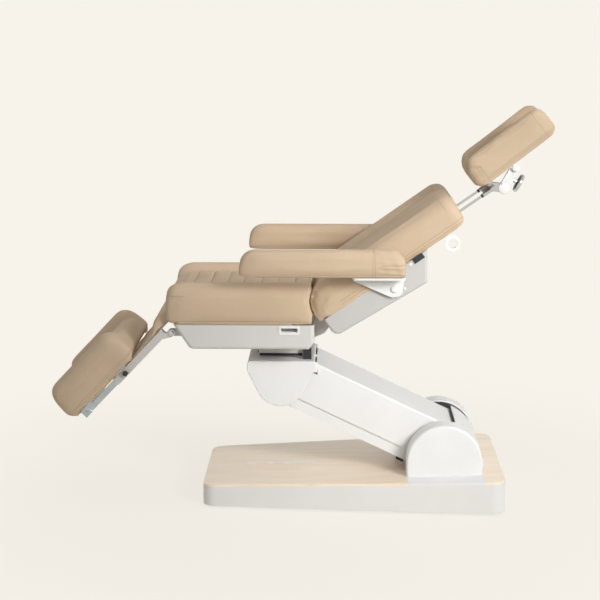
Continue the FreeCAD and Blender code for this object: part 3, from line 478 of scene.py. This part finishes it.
def blown_foam(name, node, line, voxel, foot, rounds=6):
    """Foam under a tight cover: the solid drawn in, then blown up by cloth pressure above its foot."""
    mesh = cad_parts[node].data.copy()
    mesh.name = name
    piece = bpy.data.objects.new(name, mesh)
    bpy.context.collection.objects.link(piece)
    bm = bmesh.new()
    bm.from_mesh(mesh)
    bmesh.ops.remove_doubles(bm, verts=bm.verts, dist=0.00001)
    bm.to_mesh(mesh)
    bm.free()
    remesh = piece.modifiers.new("foam", "REMESH")
    remesh.mode = "VOXEL"
    remesh.voxel_size = voxel
    ease = piece.modifiers.new("ease", "SMOOTH")
    ease.iterations = rounds
    draw = piece.modifiers.new("drawn in", "DISPLACE")
    draw.mid_level = 0.0
    draw.strength = -DRAWN_IN
    settle(piece)
    held = piece.vertex_groups.new(name="held")
    start = [(v.co.copy(), v.normal.copy()) for v in piece.data.vertices]
    held.add([i for i, (rest, _) in enumerate(start) if lay(line, rest)[2] < foot], 1.0, "REPLACE")
    cloth = piece.modifiers.new("cover", "CLOTH")
    cloth.settings.use_pressure = True
    cloth.settings.uniform_pressure_force = PRESSURE
    cloth.settings.vertex_group_mass = "held"
    cloth.settings.effector_weights.gravity = 0.0
    for step in range(1, CLOTH_STEPS + 1):
        bpy.context.scene.frame_set(step)
    settle(piece)
    bpy.context.scene.frame_set(1)
    for vertex, (rest, out) in zip(piece.data.vertices, start):
        push = vertex.co - rest
        push -= out * min(0.0, push.dot(out))
        vertex.co = rest + push * min(1.0, SWELL / max(push.length, SWELL))
    piece.vertex_groups.clear()
    return piece


def open_cover(piece):
    """A cover's mesh ready for its seams."""
    bm = bmesh.new()
    bm.from_mesh(piece.data)
    # This layer carries the painted shade along the seams.
    bm.verts.layers.float.new("seam")
    return bm


def ramp(value, low, high):
    """Nought up to the low value, one from the high value on."""
    return min(1.0, max(0.0, (value - low) / (high - low)))


def relax(bm, chosen, times):
    """Even out the chosen part of a cover."""
    loose = [v for v in bm.verts if chosen(v.co)]
    for _ in range(times):
        bmesh.ops.smooth_vert(bm, verts=loose, factor=0.5,
                              use_axis_x=True, use_axis_y=True, use_axis_z=True)


def sew(bm, point, across, chosen, depth=0.0018, width=0.004):
    """A seam: the cover is drawn in where a plane cuts the chosen faces."""
    for shift in (-width, width, 0.0):
        faces = [f for f in bm.faces if chosen(f.calc_center_median())]
        rims = list({e for f in faces for e in f.edges}) + list({v for f in faces for v in f.verts})
        cut = bmesh.ops.bisect_plane(bm, geom=faces + rims, dist=0.00001,
                                     plane_co=point + across * shift, plane_no=across)
    bm.normal_update()
    # The cut vertices are marked, so the leather gets painted shade along them.
    seam_shade_mark = bm.verts.layers.float["seam"]
    for vertex in [v for v in cut["geom_cut"] if isinstance(v, bmesh.types.BMVert)]:
        vertex.co -= vertex.normal * depth
        vertex[seam_shade_mark] = 1.0


def upholster(piece, bm, finish, body, *nodes):
    """Round the sewn cover off, give it its leather and hang it on its body."""
    bm.to_mesh(piece.data)
    bm.free()
    soft = piece.modifiers.new("cover", "SUBSURF")
    soft.levels = soft.render_levels = 1
    piece.data.materials.clear()
    piece.data.materials.append(finish)
    piece.data.shade_smooth()
    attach(piece, body)
    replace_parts(piece, *nodes)


AHEAD = Vector((1.0, 0.0, 0.0))
UPWARD = Vector((0.0, 0.0, 1.0))
leather = synthetic_leather("beige_leather", LEATHER_DARK, LEATHER_LIGHT)
seat = blown_foam("seat_cover", "seat_cushion", level, 0.006, 0.703)
bm = open_cover(seat)
for vertex in bm.verts:
    x, _, z = lay(level, vertex.co)
    heel = ramp(x, *HEEL_RUN)
    drop = FOOT_DROP * ramp(-z, -0.706, -0.698)
    vertex.co.z = max(SEAT_FOOT, z - drop - HEEL_DROP * heel * ramp(-z, -0.770, -0.720))
    vertex.co.x += FULLER * heel * ramp(-z, -0.775, -0.735) - FULLER * ramp(-x, 0.085, 0.125)
relax(bm, lambda p: p.x > foot_end + 0.345 and p.z > 0.70, 6)
for vertex in bm.verts:
    x, y, z = lay(level, vertex.co)
    out = Vector((x - BACK_HINGE[0] * 0.001, 0.0, z - BACK_HINGE[1] * 0.001))
    reach = ROLL_NEAR + 0.020 * ramp(-abs(y), -0.215, -0.180)
    if out.length < reach:
        vertex.co += out * (ROLL_CLEAR / out.length - 1.0) * ramp(-out.length, -reach, 0.0045 - reach)
    if z < HEEL_TOP:
        vertex.co.x = min(vertex.co.x, foot_end + HEEL_END)
for i in range(CHANNELS):
    channel = CHANNEL_FIRST + CHANNEL_PITCH * i
    sew(bm, spot(channel * 1000.0, 0.0, 0.0), AHEAD,
        lambda p: (abs(p.x - foot_end - channel) < 0.03 and abs(p.y) < SEAT_PANEL_HALF
                   and p.z > SEAT_PANEL_LOW), CHANNEL_DEPTH, 0.006)
for vertex in bm.verts:
    x, y, z = lay(level, vertex.co)
    across = (x - CHANNEL_FIRST) / CHANNEL_PITCH
    if z > SEAT_PANEL_LOW and abs(y) < SEAT_PANEL_HALF and -0.5 < across < CHANNELS - 0.5:
        edge = ramp(SEAT_PANEL_HALF - abs(y), 0.0, 0.03)
        vertex.co.z += CHANNEL_SWELL * edge * math.sin(math.pi * across) ** 2
sew(bm, spot(0.0, 0.0, 702.5), UPWARD, lambda p: p.z < 0.73)
sew(bm, spot(0.0, 0.0, 794.0), UPWARD,
    lambda p: abs(p.y) > 0.20 and p.x < foot_end - 0.055 and 0.76 < p.z < 0.82, 0.0012)
upholster(seat, bm, leather, "seat", "seat_cushion")

# Knee flap.
# A tongue of the same leather, doubled and stitched, its upper sides turned back; it hangs from the
# seat's front edge and lies on the leg tubes, so that nothing catches in the hinge.
FLAP_HALF = 0.239
FLAP_SHEET = 0.0036
FLAP_STEPS = 22
FLAP_TOP = 0.729
FLAP_FALL = 0.176
FLAP_WAVE = 0.0016
LEG_TILT = 46.5
knee = along(*LEG_HINGE, LEG_TILT)
bm = bmesh.new()
track = [spot(x, 0.0, z) for x, z in ((-132.0, 729.0), (-150.0, 719.0), (-167.0, 703.0), (-180.0, 674.0))]
track += [on_line(knee, u, 0.0, n) for u, n in ((-54.0, 44.0), (-84.0, 40.4), (-130.0, 39.5), (-178.0, 39.5))]
points = [bm.verts.new(p - Vector((0.0, FLAP_HALF, 0.0))) for p in track]
edges = [bm.edges.new(pair) for pair in zip(points, points[1:])]
bmesh.ops.spin(bm, geom=points + edges, cent=(0.0, 0.0, 0.0), axis=(0.0, 1.0, 0.0), angle=0.0,
               steps=FLAP_STEPS, dvec=(0.0, 2 * FLAP_HALF / FLAP_STEPS, 0.0))
ends = [e for e in bm.edges if e.is_boundary and min(abs(v.co.y) for v in e.verts) > FLAP_HALF - 0.001]
sides = bmesh.ops.extrude_edge_only(bm, edges=ends)["geom"]
for vertex in [v for v in sides if isinstance(v, bmesh.types.BMVert)]:
    height = vertex.co.z
    vertex.co.x += 0.003 + 0.028 * ramp(height, 0.650, 0.674) + 0.016 * ramp(height, 0.674, 0.703)
bmesh.ops.recalc_face_normals(bm, faces=bm.faces)
for vertex in bm.verts:
    down = (FLAP_TOP - vertex.co.z) / FLAP_FALL
    hang = math.sin(math.pi * ramp(down * 1.5, 0.0, 1.0))
    vertex.co.x -= FLAP_WAVE * hang * (1.0 + math.sin(vertex.co.y * 62.0 + 2.0 * down))
flap_mesh = bpy.data.meshes.new("knee_flap_cover")
bm.to_mesh(flap_mesh)
bm.free()
flap = bpy.data.objects.new("knee_flap_cover", flap_mesh)
bpy.context.collection.objects.link(flap)
thick = flap.modifiers.new("doubled", "SOLIDIFY")
thick.thickness = FLAP_SHEET
thick.offset = 0.0
smooth = flap.modifiers.new("soft", "SUBSURF")
smooth.levels = smooth.render_levels = 2
settle(flap)
flap.data.materials.append(leather)
flap.data.shade_smooth()
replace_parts(flap, "knee_flap")
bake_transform(flap, "seat", "leg", spot(-128.0, 0.0, 727.0), spot(-190.0, 0.0, 626.0))

# Backrest.
# Zinc-plated side plates on a torque shaft, a pale moulded shell with screw caps behind, and a foam
# cushion with bolsters and a rolled lower end; a plain woven tag is sewn into its rear seam.
TAG = (0.020, 0.021, 0.024)
BACK_TILT = 35.0
BACK_FOOT = -0.0320
HEM_OUT = 0.2902
HEM_DROP = 0.008
ROLL_FULL = 0.0877
ROLL_FOAM = 0.078
SCREW_CAP = [(0, 2.4), (3, 2.1), (4.8, 1.2), (5.6, 0), (5.6, -0.4), (0, -0.4)]


def woven_tape(name, colour):
    """Close-woven ribbon: crossing threads half a millimetre apart."""
    finish, tree, shader, place = open_finish(name, 0.8)
    weave = tree.nodes.new("ShaderNodeTexChecker")
    weave.inputs["Scale"].default_value = 1900.0
    tree.links.new(place, weave.inputs["Vector"])
    tint(tree, shader, mottle(tree, place, 300.0), colour, shade(colour, 2.2))
    relief(tree, shader, weave.outputs["Fac"], 0.0001)
    return finish


dress(zinc, "back_frame")
# The shell's moulding is the tray's grey made darker: painted shade on the same plastic.
dress(moulded("shaded_shell_moulding", shade(TRAY_GREY, 0.84)), "back_shell")
dress(black_moulding, "rod_sleeves")
dress(white_moulding, "roll_lugs")
back_line = along(*BACK_HINGE, BACK_TILT)
caps = bmesh.new()
for side in (-1, 1):
    for u, n in ((300.6, -43.2), (234.3, -103.8)):
        turned(caps, SCREW_CAP, on_line(back_line, u, side * 288.0, n), Vector((0.0, side, 0.0)), 28)
fit(caps, "shell_caps", white_moulding, "back")
tag = bmesh.new()
block(tag, back_line, (316.0, 359.0), (-290.4, -288.4), (-50.0, -29.0), 0.7)
fit(tag, "seam_tag", woven_tape("black_ribbon", TAG), "back")
back = blown_foam("back_cover", "back_cushion", back_line, 0.006, -0.020)
bm = open_cover(back)
for vertex in bm.verts:
    u, y, n = lay(back_line, vertex.co)
    hem = ramp(abs(y), 0.268, 0.280) * ramp(-u, -0.300, -0.200)
    if n < 0.0:
        drop = ramp(-n, 0.006, 0.026)
        n = max(n - FOOT_DROP * drop, BACK_FOOT) - HEM_DROP * hem * drop
        y = math.copysign(max(abs(y), HEM_OUT * hem), y)
        vertex.co = on_line(back_line, u * 1000.0, y * 1000.0, n * 1000.0)
relax(bm, lambda p: lay(back_line, p)[0] < -0.05 and lay(back_line, p)[2] < 0.0, 10)
for vertex in bm.verts:
    u, y, n = lay(back_line, vertex.co)
    reach = math.hypot(u, n)
    if u < 0.0 and reach > ROLL_FOAM:
        full = ROLL_FULL / reach
        share = min(full, 1.0 + (full - 1.0) * ramp(-u, 0.0, 0.02) * ramp(-n, -0.088, -0.07))
        vertex.co = on_line(back_line, u * share * 1000.0, y * 1000.0, n * share * 1000.0)
    elif u < 0.035:
        n = min(n, ROLL_FULL + 0.0016 * ramp(u, 0.005, 0.035))
        vertex.co = on_line(back_line, u * 1000.0, y * 1000.0, n * 1000.0)
for height in (-0.020, -0.009):
    sew(bm, on_line(back_line, 0.0, 0.0, height * 1000.0), back_line[2],
        lambda p: lay(back_line, p)[2] < 0.02 and lay(back_line, p)[0] > 0.02, 0.0014)
sew(bm, on_line(back_line, 512.0, 0.0, 0.0), back_line[1],
    lambda p: abs(p.y) > 0.17 and 0.045 < lay(back_line, p)[2] and lay(back_line, p)[0] > 0.45, 0.0010)
upholster(back, bm, leather, "back", "back_cushion")

# Armrests.
# Foam pads on white steel brackets that swing on the back's axle; a slip cover is drawn over
# the rear end of each pad, with a double seam in front and loose folds behind it.
SLEEVE_SEAM = 0.6195
PAD_MIDDLE = 0.916
PAD_CROWN = 0.0045
PAD_BELLY = 0.0022
CORNER_RUN = 0.055
CORNER_BEND = 0.94
FOLD_DEPTH = 0.0009
AXLE_CAP = [(0, 4.6), (10, 4.4), (12.6, 3.6), (13.4, 2.4), (13.4, -1), (0, -1)]
dress(white_coat, "armrest_bracket_right", "armrest_bracket_left")
for side, sign in (("right", 1), ("left", -1)):
    pad = blown_foam("armrest_cover_" + side, "armrest_pad_" + side, level, 0.005, 0.888, 12)
    bm = open_cover(pad)
    rear = max(v.co.x for v in bm.verts)
    for vertex in bm.verts:
        bend = CORNER_BEND * ramp(vertex.co.x, rear - CORNER_RUN, rear)
        height = vertex.co.z
        vertex.co.z += PAD_CROWN * ramp(height, 0.925, 0.945) - PAD_BELLY * ramp(-height, -0.896, -0.889)
        if vertex.co.z > PAD_MIDDLE:
            vertex.co.z = PAD_MIDDLE + (vertex.co.z - PAD_MIDDLE) * math.sqrt(1.0 - bend * bend)
    for shift in (0.0, 0.007):
        sew(bm, spot((SLEEVE_SEAM + shift) * 1000.0, 0.0, 0.0), AHEAD,
            lambda p: p.x > foot_end + 0.55, *END_SEAM)
    for height, lean in ((0.9235, 0.05), (0.914, -0.02)):
        slope = Vector((-lean, 0.0, 1.0)).normalized()
        sew(bm, spot(680.0, 0.0, height * 1000.0), slope,
            lambda p: p.x > foot_end + SLEEVE_SEAM + 0.015 and 0.89 < p.z < 0.94, 0.0016, 0.0045)
    sew(bm, spot(0.0, 0.0, 892.0), UPWARD, lambda p: p.z < 0.91, *HEM_SEAM)
    bm.normal_update()
    for vertex in bm.verts:
        x, _, z = lay(level, vertex.co)
        loose = ramp(x - SLEEVE_SEAM - 0.006, 0.0, 0.03)
        if z > 0.89:
            fold = math.sin(z * 330.0 + 26.0 * (x - SLEEVE_SEAM) + 1.3 * sign)
            fold += 0.6 * math.sin(x * 150.0 + z * 90.0)
            vertex.co += vertex.normal * (FOLD_DEPTH * loose * fold)
    upholster(pad, bm, leather, "armrest_" + side, "armrest_pad_" + side)
    cap = bmesh.new()
    turned(cap, AXLE_CAP, on_line(back_line, 206.0, sign * 306.0, -81.0), Vector((0.0, sign, 0.0)))
    fit(cap, "axle_cap_" + side, white_coat, "armrest_" + side)

# Headrest.
# A dished cushion on a white double knuckle, carried by two chromed rods that slide in the back;
# the rods end in collars on a grey bridge plate, and a handwheel clamps the knuckle.
LOWER_KNUCKLE = (1111.004, 1160.177)
UPPER_KNUCKLE = (1153.004, 1236.177)
WHEEL_CENTRE = (1132.004, 1198.177)
WHEEL_AXIS = Vector((0.875242, 0.0, -0.483686))
HEAD_TILT = 38.0
BRIDGE_GREY = (0.24, 0.24, 0.235)
ROD_SIDE = 82.0
ROD_LEVEL = -14.0
KNUCKLE_SIDE = 20.2
COLLAR = [(5.05, 0), (7, 0), (8, 1), (8, 35), (5.05, 35)]
ROD_STOP = [(5.05, 0), (6.2, 0), (6.7, 0.5), (6.7, 7.5), (6.2, 8), (5.05, 8)]
LOWER_DISC = [(0, 5.4), (17, 5.2), (20, 4), (21, 2.2), (21, 0.2), (0, 0.2)]
UPPER_DISC = [(0, 4), (11, 3.8), (13, 2.8), (13.6, 1.6), (13.6, 0.2), (0, 0.2)]
WHEEL_RIM = [(0, 38), (26, 38), (31.5, 37), (32.5, 34.4), (34.6, 34.8), (36, 37.5), (36, 44), (34.4, 47),
             (31, 48), (28, 46.8), (24, 45.4), (0, 44.8)]
WHEEL_STEM = [(0, 12.5), (6, 12.5), (6, 21), (8.6, 22), (8.6, 32), (6.8, 33.4), (0, 33.4)]
WHEEL_WEB = [(6.9, 33.2), (27, 33.2), (31, 34.6), (31.2, 36.6), (26, 37.9), (6.9, 37.9)]
dress(chrome, "head_rods")
dress(zinc, "head_pin_lower", "head_pin_upper")
dress(white_moulding, "head_link", "head_plate")
collars = bmesh.new()
stops = bmesh.new()
discs = bmesh.new()
upper_discs = bmesh.new()
for side in (-1, 1):
    outward = Vector((0.0, side, 0.0))
    for whole, outline, u in ((collars, COLLAR, 655.0), (stops, ROD_STOP, 646.5)):
        turned(whole, outline, on_line(back_line, u, side * ROD_SIDE, ROD_LEVEL), back_line[1], 36, True)
    lower, upper = [spot(x, side * KNUCKLE_SIDE, z) for x, z in (LOWER_KNUCKLE, UPPER_KNUCKLE)]
    turned(discs, LOWER_DISC, lower, outward)
    turned(upper_discs, UPPER_DISC, upper, outward)
fit(collars, "rod_collars", chrome, "head_slide")
fit(stops, "rod_stops", black_moulding, "head_slide")
fit(discs, "knuckle_discs", white_moulding, "head_slide")
fit(upper_discs, "upper_knuckle_discs", white_moulding, "headrest")
bridge = bmesh.new()
block(bridge, back_line, (660.0, 691.0), (-75.5, 75.5), (-17.5, -10.5), 1.5)
fit(bridge, "rod_bridge", powder_coat("bridge_grey", BRIDGE_GREY), "head_slide")
rim = bmesh.new()
wheel = spot(WHEEL_CENTRE[0], 0.0, WHEEL_CENTRE[1])
turned(rim, WHEEL_RIM, wheel, WHEEL_AXIS, 64)
turned(rim, WHEEL_STEM, wheel, WHEEL_AXIS, 36)
fit(rim, "handwheel_rim", chrome, "head_knob")
web = bmesh.new()
turned(web, WHEEL_WEB, wheel, WHEEL_AXIS, 64, True)
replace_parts(fit(web, "handwheel_web", black_moulding, "head_knob"), "head_knob")
head_line = along(*UPPER_KNUCKLE, HEAD_TILT)
head = blown_foam("head_cover", "head_cushion", head_line, 0.005, 0.036, 14)
bm = open_cover(head)
for height in (0.0430, 0.0500):
    sew(bm, on_line(head_line, 0.0, 0.0, height * 1000.0), head_line[2],
        lambda p: 0.02 < lay(head_line, p)[2] < 0.075, *HEM_SEAM)
sew(bm, on_line(head_line, -104.0, 0.0, 0.0), head_line[1],
    lambda p: abs(p.y) > 0.105 and lay(head_line, p)[2] < 0.10 and lay(head_line, p)[0] < -0.07, *END_SEAM)
sew(bm, on_line(head_line, 158.0, 0.0, 0.0), head_line[1],
    lambda p: abs(p.y) > 0.105 and lay(head_line, p)[2] < 0.15 and lay(head_line, p)[0] > 0.12, *END_SEAM)
upholster(head, bm, leather, "headrest", "head_cushion")

# Leg rest.
# Square steel tubes on the front hinge, inner tubes that slide out of them and end in a bolted angle,
# lobed clamp knobs outside, and a bolstered cushion on a plywood board with leather-wrapped rails.
TUBE_GREY = (0.620, 0.600, 0.570)
GRIP_STEM = [(0, -2.4), (5, -2.4), (5, 3), (8, 3.4), (8, 4.2), (0, 4.2)]
GRIP_RADIUS = 0.0096
GRIP_HEIGHT = 0.013
LOBES = 5.0
LOBE_SHARE = 0.13
ANGLE_BOLT = [(0, 4), (5.2, 4), (6, 3.2), (6, 0), (8.5, 0), (8.5, -1.2), (0, -1.2)]
LEG_HEM = 0.0035
OVERHANG_HEM = 0.0085


def lobed_grip(whole, base, axis):
    """A five-lobed hand grip, moulded with soft edges."""
    part = bmesh.new()
    bmesh.ops.create_circle(part, cap_ends=True, radius=GRIP_RADIUS, segments=50)
    for vertex in part.verts:
        vertex.co *= 1.0 + LOBE_SHARE * math.cos(LOBES * math.atan2(vertex.co.y, vertex.co.x))
    raised = bmesh.ops.extrude_face_region(part, geom=part.faces[:])
    top = [v for v in raised["geom"] if isinstance(v, bmesh.types.BMVert)]
    bmesh.ops.translate(part, verts=top, vec=(0.0, 0.0, GRIP_HEIGHT))
    bmesh.ops.recalc_face_normals(part, faces=part.faces)
    rims = [e for e in part.edges if abs(e.verts[0].co.z - e.verts[1].co.z) < 0.0001]
    bmesh.ops.bevel(part, geom=rims, offset=0.0016, segments=3, profile=0.5, affect="EDGES", material=-1)
    put(whole, part, Matrix.Translation(base) @ axis.to_track_quat("Z", "Y").to_matrix().to_4x4())


dress(powder_coat("tube_paint", TUBE_GREY), "leg_tubes")
dress(zinc, "leg_slides")
angles = bmesh.new()
rails = bmesh.new()
for side, sign in (("right", 1), ("left", -1)):
    outward = Vector((0.0, sign, 0.0))
    grip = bmesh.new()
    clamp = on_line(knee, -227.0, sign * 246.0, 20.0)
    turned(grip, GRIP_STEM, clamp, outward)
    lobed_grip(grip, clamp + outward * 0.004, outward)
    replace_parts(fit(grip, "clamp_grip_" + side, black_moulding, "leg_knob_" + side),
                "leg_knob_" + side)
    block(angles, knee, (-452.0, -418.0), sorted((sign * 242.8, sign * 245.8)), (9.0, 46.0), 1.0)
    block(rails, knee, (-474.0, -262.0), sorted((sign * 226.0, sign * 242.0)), (37.2, 47.0), 2.5)
    turned(angles, ANGLE_BOLT, on_line(knee, -436.0, sign * 247.0, 22.0), outward, 6)
fit(angles, "slide_angles", zinc, "leg_extension")
fit(rails, "cushion_rails", leather, "leg_extension")
leg = blown_foam("leg_cover", "leg_cushion", knee, 0.006, 0.058)
bm = open_cover(leg)
for vertex in bm.verts:
    hem = LEG_HEM + OVERHANG_HEM * ramp(abs(vertex.co.y), 0.247, 0.252)
    vertex.co -= knee[2] * (hem * ramp(-lay(knee, vertex.co)[2], -0.056, -0.050))
for height in (57.5, 64.5):
    sew(bm, on_line(knee, 0.0, 0.0, height), knee[2], lambda p: lay(knee, p)[2] < 0.085, *HEM_SEAM)
upholster(leg, bm, leather, "leg_extension", "leg_cushion")

# Studio.
# A pale warm sweep that the camera sees at full tone, with the chair's soft shadow on it;
# a large gridded lamp stands in front at the head end, and a weaker one hangs above.
SWEEP = (0.930, 0.896, 0.822)
SKY_FILL = (1.0, 0.995, 0.985)
SKY_STRENGTH = 0.43
SHADE_RUN = (0.5, 2.2)
SHADE_SHARE = 0.82
CAMERA_AT = (486.245, -5984.6, 1820.9)
CAMERA_DIP = 0.1797
CAMERA_TURN = 0.022
FOCAL_LENGTH = 96.6162
floor_mesh = bpy.data.meshes.new("floor")
bm = bmesh.new()
bmesh.ops.create_grid(bm, x_segments=4, y_segments=4, size=14.0)
bmesh.ops.translate(bm, verts=bm.verts, vec=(0.0, 4.0, -0.0005))
bm.to_mesh(floor_mesh)
bm.free()
floor = bpy.data.objects.new("floor", floor_mesh)
bpy.context.collection.objects.link(floor)


def seen_directly(tree):
    """One for rays that show a surface to the camera, in metal or through glass; nought for light."""
    rays = tree.nodes.new("ShaderNodeLightPath")
    share = rays.outputs["Is Camera Ray"]
    for kind in ("Is Glossy Ray", "Is Transmission Ray"):
        either = tree.nodes.new("ShaderNodeMath")
        either.operation = "MAXIMUM"
        tree.links.new(share, either.inputs[0])
        tree.links.new(rays.outputs[kind], either.inputs[1])
        share = either.outputs["Value"]
    return share


sweep = bpy.data.materials.new("sweep")
sweep.use_nodes = True
tree = sweep.node_tree
tree.nodes.clear()
out = tree.nodes.new("ShaderNodeOutputMaterial")
mix = tree.nodes.new("ShaderNodeMixShader")
matt = tree.nodes.new("ShaderNodeBsdfDiffuse")
matt.inputs["Color"].default_value = (*SWEEP, 1.0)
glow = tree.nodes.new("ShaderNodeEmission")
glow.inputs["Color"].default_value = (*SWEEP, 1.0)
reach = tree.nodes.new("ShaderNodeVectorMath")
reach.operation = "LENGTH"
tree.links.new(tree.nodes.new("ShaderNodeTexCoord").outputs["Object"], reach.inputs[0])
fade = tree.nodes.new("ShaderNodeMapRange")
fade.interpolation_type = "SMOOTHSTEP"
fade.inputs["From Min"].default_value = SHADE_RUN[0]
fade.inputs["From Max"].default_value = SHADE_RUN[1]
fade.inputs["To Min"].default_value = SHADE_SHARE
fade.inputs["To Max"].default_value = 1.0
tree.links.new(reach.outputs["Value"], fade.inputs["Value"])
part_seen = tree.nodes.new("ShaderNodeMath")
part_seen.operation = "MULTIPLY"
tree.links.new(seen_directly(tree), part_seen.inputs[0])
tree.links.new(fade.outputs["Result"], part_seen.inputs[1])
tree.links.new(part_seen.outputs["Value"], mix.inputs["Fac"])
tree.links.new(matt.outputs["BSDF"], mix.inputs[1])
tree.links.new(glow.outputs["Emission"], mix.inputs[2])
tree.links.new(mix.outputs["Shader"], out.inputs["Surface"])
floor_mesh.materials.append(sweep)

world = bpy.data.worlds.new("studio")
bpy.context.scene.world = world
world.use_nodes = True
tree = world.node_tree
tree.nodes.clear()
out = tree.nodes.new("ShaderNodeOutputWorld")
mix = tree.nodes.new("ShaderNodeMixShader")
fill = tree.nodes.new("ShaderNodeBackground")
fill.inputs["Color"].default_value = (*SKY_FILL, 1.0)
fill.inputs["Strength"].default_value = SKY_STRENGTH
shown = tree.nodes.new("ShaderNodeBackground")
shown.inputs["Color"].default_value = (*SWEEP, 1.0)
tree.links.new(seen_directly(tree), mix.inputs["Fac"])
tree.links.new(fill.outputs["Background"], mix.inputs[1])
tree.links.new(shown.outputs["Background"], mix.inputs[2])
tree.links.new(mix.outputs["Shader"], out.inputs["Surface"])


def soft_box(name, place, aim, size, power, spread):
    """A large soft lamp that looks at a point through a grid of a spread in degrees."""
    lamp = bpy.data.lights.new(name, "AREA")
    lamp.size = size
    lamp.energy = power
    lamp.spread = math.radians(spread)
    holder = bpy.data.objects.new(name, lamp)
    bpy.context.collection.objects.link(holder)
    holder.location = place
    holder.rotation_euler = (Vector(aim) - Vector(place)).to_track_quat("-Z", "Y").to_euler()


soft_box("head_lamp", (2.6, -3.2, 2.3), (0.5, -0.2, 0.8), 1.4, 9.6, 38.0)
soft_box("top_lamp", (0.6, -0.8, 4.2), (0.0, 0.0, 0.6), 2.5, 18.5, 180.0)

lens = bpy.data.cameras.new("camera")
lens.sensor_width = 36.0
lens.lens = FOCAL_LENGTH
camera = bpy.data.objects.new("camera", lens)
bpy.context.collection.objects.link(camera)
camera.location = spot(*CAMERA_AT)
camera.rotation_euler = (math.pi / 2 - CAMERA_DIP, 0.0, CAMERA_TURN)
bpy.context.scene.camera = camera
bpy.context.scene.view_settings.view_transform = "Standard"
